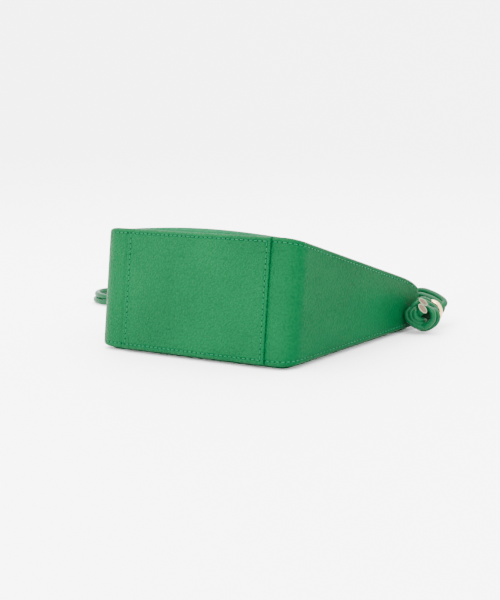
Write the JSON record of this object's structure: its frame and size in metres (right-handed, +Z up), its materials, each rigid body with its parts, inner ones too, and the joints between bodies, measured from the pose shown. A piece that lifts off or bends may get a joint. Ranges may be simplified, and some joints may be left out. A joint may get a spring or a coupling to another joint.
{
  "type": "handbag",
  "caption": "Small wedge-shaped leather handbag lying on its back panel, with a zip mouth and a doubled cord handle knotted through a ring at each end.",
  "frame": {"origin": "on the surface it lies on, under the middle of the bag without its handle cords and knots", "axes": "+X toward the bag's right side, along its width; +Y from the base toward the mouth; +Z up from the surface, out of the front panel"},
  "size_m": [0.3574, 0.2468, 0.0962],
  "materials": {
    "leather_green": "pebbled dyed leather",
    "leather_panel": "pebbled dyed leather",
    "leather_cord": "smooth dyed leather",
    "cut_core": "raw cut edge",
    "board": "pressed fibre board",
    "lining": "plain woven",
    "tape": "woven tape",
    "gold_metal": "polished pale gold plating"
  },
  "bodies": {
    "bag": {"front_panel": "leather_panel", "back_panel": "leather_panel", "gusset_right": "leather_green", "gusset_left": "leather_green", "base_panel": "leather_green", "base_board": "board", "front_board": "board", "back_board": "board", "front_lining": "lining", "back_lining": "lining", "side_lining": "lining", "inner_pocket": "lining", "label_patch": "leather_panel", "zip_facing_front": "leather_green", "zip_facing_back": "leather_green", "zip_tape_front": "tape", "zip_tape_back": "tape", "zip_teeth_front": "gold_metal", "zip_teeth_back": "gold_metal", "zip_stop_right": "gold_metal", "zip_stop_left": "gold_metal", "ring_tab_right": "leather_green", "ring_tab_left": "leather_green", "tab_backing_right": "board", "tab_backing_left": "board", "handle_cord_upper": "leather_cord", "handle_cord_lower": "leather_cord", "knot_right": "leather_cord", "knot_left": "leather_cord", "cord_tails_right": "cut_core", "cord_tails_left": "cut_core"},
    "slider": {"zip_slider": "gold_metal"},
    "puller": {"zip_puller": "gold_metal"},
    "right_ring": {"ring_right": "gold_metal"},
    "left_ring": {"ring_left": "gold_metal"}
  },
  "joints": [
    {"name": "zip_slide", "type": "slide", "parent": "bag", "child": "slider", "axis": [1, 0, 0], "range_m": [0, 0.122]},
    {"name": "puller_swing", "type": "hinge", "parent": "slider", "child": "puller", "pos_m": [-0.069, 0.09519, 0.01815], "axis": [0, 0.1627, 0.9867], "range_deg": [0, 150]},
    {"name": "right_ring_swing", "type": "hinge", "parent": "bag", "child": "right_ring", "pos_m": [0.0987, 0.09238, 0.01273], "axis": [0, 0.1627, 0.9867], "range_deg": [-4, 4]},
    {"name": "left_ring_swing", "type": "hinge", "parent": "bag", "child": "left_ring", "pos_m": [-0.0987, 0.09238, 0.01273], "axis": [0, 0.1627, 0.9867], "range_deg": [-4, 4]}
  ]
}
